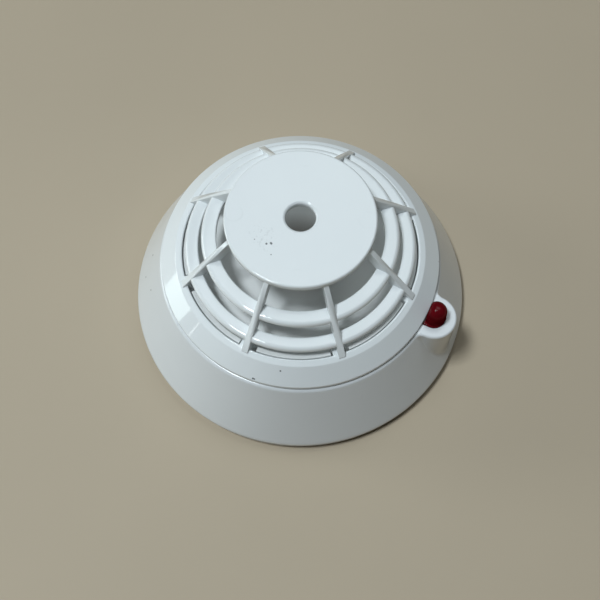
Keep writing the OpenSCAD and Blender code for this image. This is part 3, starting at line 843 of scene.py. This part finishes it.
class Nodes:
    """Small helper that builds a node material."""

    def __init__(self, name):
        self.material = bpy.data.materials.new(name)
        self.material.use_nodes = True
        self.tree = self.material.node_tree
        self.shader = self.tree.nodes["Principled BSDF"]

    def add(self, kind, **settings):
        node = self.tree.nodes.new(kind)
        for key, value in settings.items():
            setattr(node, key, value)
        return node

    def link(self, source, target):
        self.tree.links.new(source, target)

    def coords(self):
        return self.add("ShaderNodeTexCoord").outputs["Object"]

    def noise(self, scale, detail=3.0, roughness=0.5, vector=None, distortion=0.0):
        node = self.add("ShaderNodeTexNoise")
        node.inputs["Scale"].default_value = scale
        node.inputs["Detail"].default_value = detail
        node.inputs["Roughness"].default_value = roughness
        node.inputs["Distortion"].default_value = distortion
        self.link(vector if vector is not None else self.coords(), node.inputs["Vector"])
        return node.outputs["Fac"]

    def remap(self, value, lo, hi, out_lo, out_hi):
        """Maps one range to another, and holds the ends."""
        node = self.add("ShaderNodeMapRange")
        for key, number in zip(("From Min", "From Max", "To Min", "To Max"), (lo, hi, out_lo, out_hi)):
            node.inputs[key].default_value = number
        self.link(value, node.inputs["Value"])
        return node.outputs["Result"]

    def math(self, operation, a, b=None):
        node = self.add("ShaderNodeMath", operation=operation)
        for socket, value in zip(node.inputs, (a, b)):
            if value is None:
                continue
            if isinstance(value, (int, float)):
                socket.default_value = value
            else:
                self.link(value, socket)
        return node.outputs[0]

    def mix(self, factor, a, b):
        """Colour between a and b; inputs 6 and 7 and output 2 are the node's colour sockets."""
        node = self.add("ShaderNodeMix", data_type="RGBA")
        for socket, value in ((node.inputs[0], factor), (node.inputs[6], a), (node.inputs[7], b)):
            if isinstance(value, (int, float)):
                socket.default_value = value
            elif isinstance(value, tuple):
                socket.default_value = (*value, 1.0)
            else:
                self.link(value, socket)
        return node.outputs[2]

    def stretched(self, x, y, z):
        node = self.add("ShaderNodeMapping")
        node.inputs["Scale"].default_value = (x, y, z)
        self.link(self.coords(), node.inputs["Vector"])
        return node.outputs["Vector"]

    def bump(self, height, strength, distance):
        node = self.add("ShaderNodeBump")
        node.inputs["Strength"].default_value = strength
        node.inputs["Distance"].default_value = distance
        self.link(height, node.inputs["Height"])
        self.link(node.outputs["Normal"], self.shader.inputs["Normal"])

    def colour(self, source):
        self.link(source, self.shader.inputs["Base Color"])

    def roughness(self, source):
        self.link(source, self.shader.inputs["Roughness"])

    def overlay(self, factor, colour):
        """Puts a colour over the base colour, as far as the factor says."""
        below = self.shader.inputs["Base Color"].links[0].from_socket
        self.colour(self.mix(factor, below, colour))

    def set(self, **values):
        """Constants of the shader; an underscore stands for a space in the socket's name."""
        for key, value in values.items():
            self.shader.inputs[key.replace("_", " ")].default_value = value

    def distance(self, x, y, z):
        """Distance from a place given in millimetres."""
        node = self.add("ShaderNodeVectorMath", operation="DISTANCE")
        self.link(self.coords(), node.inputs[0])
        node.inputs[1].default_value = (x * MM, y * MM, z * MM)
        return node.outputs["Value"]

    def near(self, x, y, z, radius):
        """1 at a place, falling to 0 at that radius, all in millimetres."""
        return self.remap(self.distance(x, y, z), 0.0, radius * MM, 1.0, 0.0)

    def largest(self, values):
        """Largest of several values."""
        total = values[0]
        for value in values[1:]:
            total = self.math("MAXIMUM", total, value)
        return total

    def specks(self, scale, size, amount):
        """Sparse dots: a share of a Voronoi pattern's cells hold one each."""
        node = self.add("ShaderNodeTexVoronoi")
        node.inputs["Scale"].default_value = scale
        self.link(self.coords(), node.inputs["Vector"])
        dot = self.math("LESS_THAN", node.outputs["Distance"], size)
        split = self.add("ShaderNodeSeparateColor")
        self.link(node.outputs["Color"], split.inputs[0])
        chosen = self.math("LESS_THAN", split.outputs[0], amount)
        return self.math("MULTIPLY", dot, chosen)


def moulded_white(name, tone, shade, roughness, grain):
    """Moulded white plastic: faint mottling, fine grain, handling marks in the gloss."""
    n = Nodes(name)
    mottle = n.noise(38, 4, 0.55)
    n.colour(n.mix(n.remap(mottle, 0.35, 0.7, 0.0, 1.0), tone, shade))
    dust = n.math("MULTIPLY", n.specks(300, 0.07, 0.035), 0.35)
    n.overlay(dust, (0.2, 0.2, 0.2))
    smear = n.noise(75, 5, 0.6, distortion=0.6)
    n.roughness(n.remap(smear, 0.3, 0.75, roughness - 0.02, roughness + 0.035))
    n.bump(n.noise(grain, 2, 0.5), 0.2, 0.000006)
    n.set(IOR=1.53)
    return n


def spots(n, places):
    """Small dark specks at given places: (x, y, z, radius) in millimetres."""
    return n.largest([n.remap(n.near(*place), 0.0, 0.45, 0.0, 0.9) for place in places])


def ejector_marks(n):
    """Faint round witness marks of the ejector pins on the disc."""
    rings = []
    for degrees in BOSS_AZ:
        x, y = polar(MARK_PLACE_R, degrees)
        off = n.math("ABSOLUTE", n.math("SUBTRACT", n.distance(x, y, DISC_TOP_Z), MARK_R * MM))
        rings.append(n.remap(off, 0.0, MARK_WIDTH * MM, 1.0, 0.0))
    return n.largest(rings)


def cover_white():
    """The cover's white, with scuffs, dark specks and the ejector marks on its disc."""
    n = moulded_white("cover_plastic", (0.80, 0.835, 0.85), (0.78, 0.815, 0.835), 0.055, 2600)
    smudge = n.near(-6.2, -9.2, DISC_TOP_Z, 5.5)
    grime = n.math("MULTIPLY", smudge, n.remap(n.noise(900, 6, 0.75), 0.55, 0.72, 0.0, 0.5))
    broken = n.remap(n.noise(150, 2), 0.42, 0.62, 0.0, 0.14)
    n.overlay(n.math("MULTIPLY", ejector_marks(n), broken), (0.45, 0.48, 0.49))
    n.overlay(n.largest([spots(n, COVER_SPECKS), grime]), (0.05, 0.055, 0.06))
    return n.material


def skirt_white():
    """The skirt's white, set darker than the cover's as painted shade on its steep sides, with a few
    specks of dirt on its left.
    """
    # Painted shade: these tones are darker than the cover's, so the whole skirt comes out darker.
    n = moulded_white("skirt_plastic", (0.76, 0.79, 0.815), (0.74, 0.77, 0.795), 0.17, 2200)
    n.overlay(spots(n, SKIRT_SPECKS), (0.12, 0.12, 0.13))
    return n.material


def chamber_white_and_painted_shade():
    """The chassis's white, with painted shade that darkens it towards the middle of the chamber, under the
    disc.
    """
    n = moulded_white("chassis_plastic", (0.76, 0.775, 0.77), (0.72, 0.735, 0.73), 0.34, 1800)
    # Painted shade: a brownish grey laid over the floor and turret, strongest near the axis and gone 14 mm
    # out.
    n.overlay(n.remap(n.near(0, 0, FLOOR_Z, 14), 0.0, 0.4, 0.0, 0.9), (0.40, 0.37, 0.35))
    return n.material


def lens_material():
    """Dark red plastic with a gloss on its upward side only, as the photo shows it."""
    n = Nodes("red_lens")
    cloud = n.remap(n.noise(500, 2, 0.5), 0.3, 0.8, 0.0, 1.0)
    n.colour(n.mix(cloud, (0.095, 0.003, 0.006), (0.15, 0.005, 0.009)))
    n.roughness(n.remap(n.noise(900, 3), 0.3, 0.7, 0.05, 0.10))
    n.bump(n.noise(700, 2), 0.2, 0.000008)
    facing = n.add("ShaderNodeSeparateXYZ")
    n.link(n.add("ShaderNodeNewGeometry").outputs["Normal"], facing.inputs[0])
    n.link(n.remap(facing.outputs["Z"], 0.25, 0.75, 0.0, 0.35), n.shader.inputs["Coat Weight"])
    n.set(Specular_IOR_Level=0.0, Coat_Roughness=0.09)
    return n.material


def metal(name, light, dark, roughness, grain=(900, 900, 900)):
    """Plated or turned metal: streaked tone and roughness, finer along an axis with more grain."""
    n = Nodes(name)
    streak = n.noise(1.0, 4, 0.6, n.stretched(*grain))
    n.colour(n.mix(n.remap(streak, 0.3, 0.7, 0, 1), light, dark))
    n.roughness(n.remap(streak, 0.25, 0.75, roughness - 0.08, roughness + 0.12))
    n.bump(streak, 0.3, 0.00001)
    n.set(Metallic=1.0)
    return n.material


def lacquer(name, light, dark, roughness, scale=700):
    """Dull coating of a small electronic part."""
    n = Nodes(name)
    cloud = n.noise(scale, 4, 0.6)
    n.colour(n.mix(n.remap(cloud, 0.3, 0.7, 0, 1), light, dark))
    n.roughness(n.remap(cloud, 0.3, 0.7, roughness - 0.07, roughness + 0.1))
    n.bump(n.noise(scale * 4, 2), 0.3, 0.00002)
    return n.material


def floor_material():
    """Plain pale floor of the wood's mean colour."""
    n = Nodes("pale_floor")
    cloud = n.remap(n.noise(9, 4, 0.5), 0.3, 0.7, 0, 1)
    n.colour(n.mix(cloud, (0.485, 0.405, 0.30), (0.46, 0.385, 0.285)))
    n.set(Roughness=0.7)
    return n.material


def dress_cad_nodes():
    """Gives every CAD node that stays a material of its own kind."""
    by_slot = {
        "zinc_steel": metal("zinc_plate", (0.70, 0.71, 0.73), (0.56, 0.57, 0.60), 0.32),
        "contact_metal": metal("nickel_strip", (0.76, 0.74, 0.69), (0.66, 0.64, 0.60), 0.28,
                               (180, 900, 900)),
        "stud_brass": metal("turned_brass", (0.80, 0.62, 0.30), (0.66, 0.49, 0.22), 0.30),
        "component_black": lacquer("moulded_epoxy", (0.045, 0.045, 0.05), (0.03, 0.03, 0.033), 0.45),
        "resistor_coating": lacquer("resistor_lacquer", (0.62, 0.50, 0.33), (0.54, 0.43, 0.28), 0.5),
        "diode_glass": lacquer("glass_body", (0.60, 0.22, 0.08), (0.45, 0.14, 0.05), 0.2),
        "ceramic_coating": lacquer("dipped_ceramic", (0.58, 0.32, 0.12), (0.48, 0.25, 0.09), 0.5),
        "can_sleeve": lacquer("shrink_sleeve", (0.03, 0.04, 0.07), (0.02, 0.025, 0.05), 0.35),
        "board_laminate": lacquer("solder_mask", (0.03, 0.20, 0.10), (0.02, 0.15, 0.075), 0.35, 300),
        "sleeve_plastic": lacquer("milky_sleeve", (0.70, 0.70, 0.67), (0.62, 0.62, 0.60), 0.5),
        "lamp_red": lacquer("red_epoxy", (0.45, 0.02, 0.02), (0.35, 0.015, 0.015), 0.2),
        "bead_coating": lacquer("bead_epoxy", (0.05, 0.05, 0.055), (0.035, 0.035, 0.04), 0.25),
        "inner_plastic": moulded_white("carrier_plastic", (0.72, 0.74, 0.75), (0.68, 0.70, 0.71),
                                       0.34, 1800).material}
    for part in frame["record"]["subparts"]:
        node = frame["nodes"][part["node"]]
        material = by_slot.get(part["material_slot"])
        if material:
            for i in range(len(node.material_slots)):
                node.material_slots[i].material = material


# ---------------------------------------------------------------- room

def make_floor():
    """Square floor under the detector."""
    corners = [(x * FLOOR_HALF, y * FLOOR_HALF, 0) for x, y in ((-1, -1), (1, -1), (1, 1), (-1, 1))]
    mesh = bpy.data.meshes.new("floor")
    mesh.from_pydata(corners, [], [(0, 1, 2, 3)])
    floor = bpy.data.objects.new("floor", mesh)
    bpy.context.scene.collection.objects.link(floor)
    mesh.materials.append(floor_material())


def area_light(name, azimuth, elevation, width, height, power, colour):
    """Soft light that faces the detector; azimuth is counted like the camera's."""
    back = towards(azimuth, elevation)
    data = bpy.data.lights.new(name, "AREA")
    data.shape = "RECTANGLE"
    data.size, data.size_y = width, height
    data.energy = power
    data.color = colour
    light = bpy.data.objects.new(name, data)
    bpy.context.scene.collection.objects.link(light)
    light.location = back * LIGHT_DISTANCE + Vector((0, 0, LIGHT_AIM_HEIGHT))
    light.rotation_euler = back.to_track_quat("Z", "Y").to_euler()


def make_lights():
    """Studio lights, a dim room, and the window that the band reflects as a patch and a thin line."""
    left, behind = CAM_AZIMUTH - 90, CAM_AZIMUTH + 180
    area_light("key", left + 22, 72, 0.28, 0.2, 10.0, (0.91, 1.0, 1.05))
    area_light("ceiling", behind - 30, 70, 0.9, 0.6, 3.2, (0.9, 1.0, 1.02))
    area_light("low_left", left - 14, 16, 0.5, 0.4, 3.6, (0.94, 1.0, 1.0))
    area_light("window", left - 1.5, 4, 0.55, 0.26, 1.95, (0.85, 1.0, 0.98))
    area_light("window_edge", left + 19.5, 5, 0.01, 0.26, 0.07, (0.95, 1.0, 1.0))
    world = bpy.data.worlds.new("room")
    world.use_nodes = True
    background = world.node_tree.nodes["Background"]
    background.inputs["Color"].default_value = (1.0, 0.95, 0.86, 1.0)
    background.inputs["Strength"].default_value = 0.03
    bpy.context.scene.world = world
    bpy.context.scene.view_settings.view_transform = "Standard"


# ---------------------------------------------------------------- build

make_camera()
make_cover(cover_white())
make_housing(skirt_white())
make_base(moulded_white("base_plastic", (0.76, 0.785, 0.81), (0.72, 0.745, 0.77), 0.30, 2000).material)
make_chassis(chamber_white_and_painted_shade())
make_thermistor(lacquer("sensor_epoxy", (0.05, 0.05, 0.055), (0.035, 0.035, 0.04), 0.22))
make_lens(lens_material())
dress_cad_nodes()
make_floor()
make_lights()
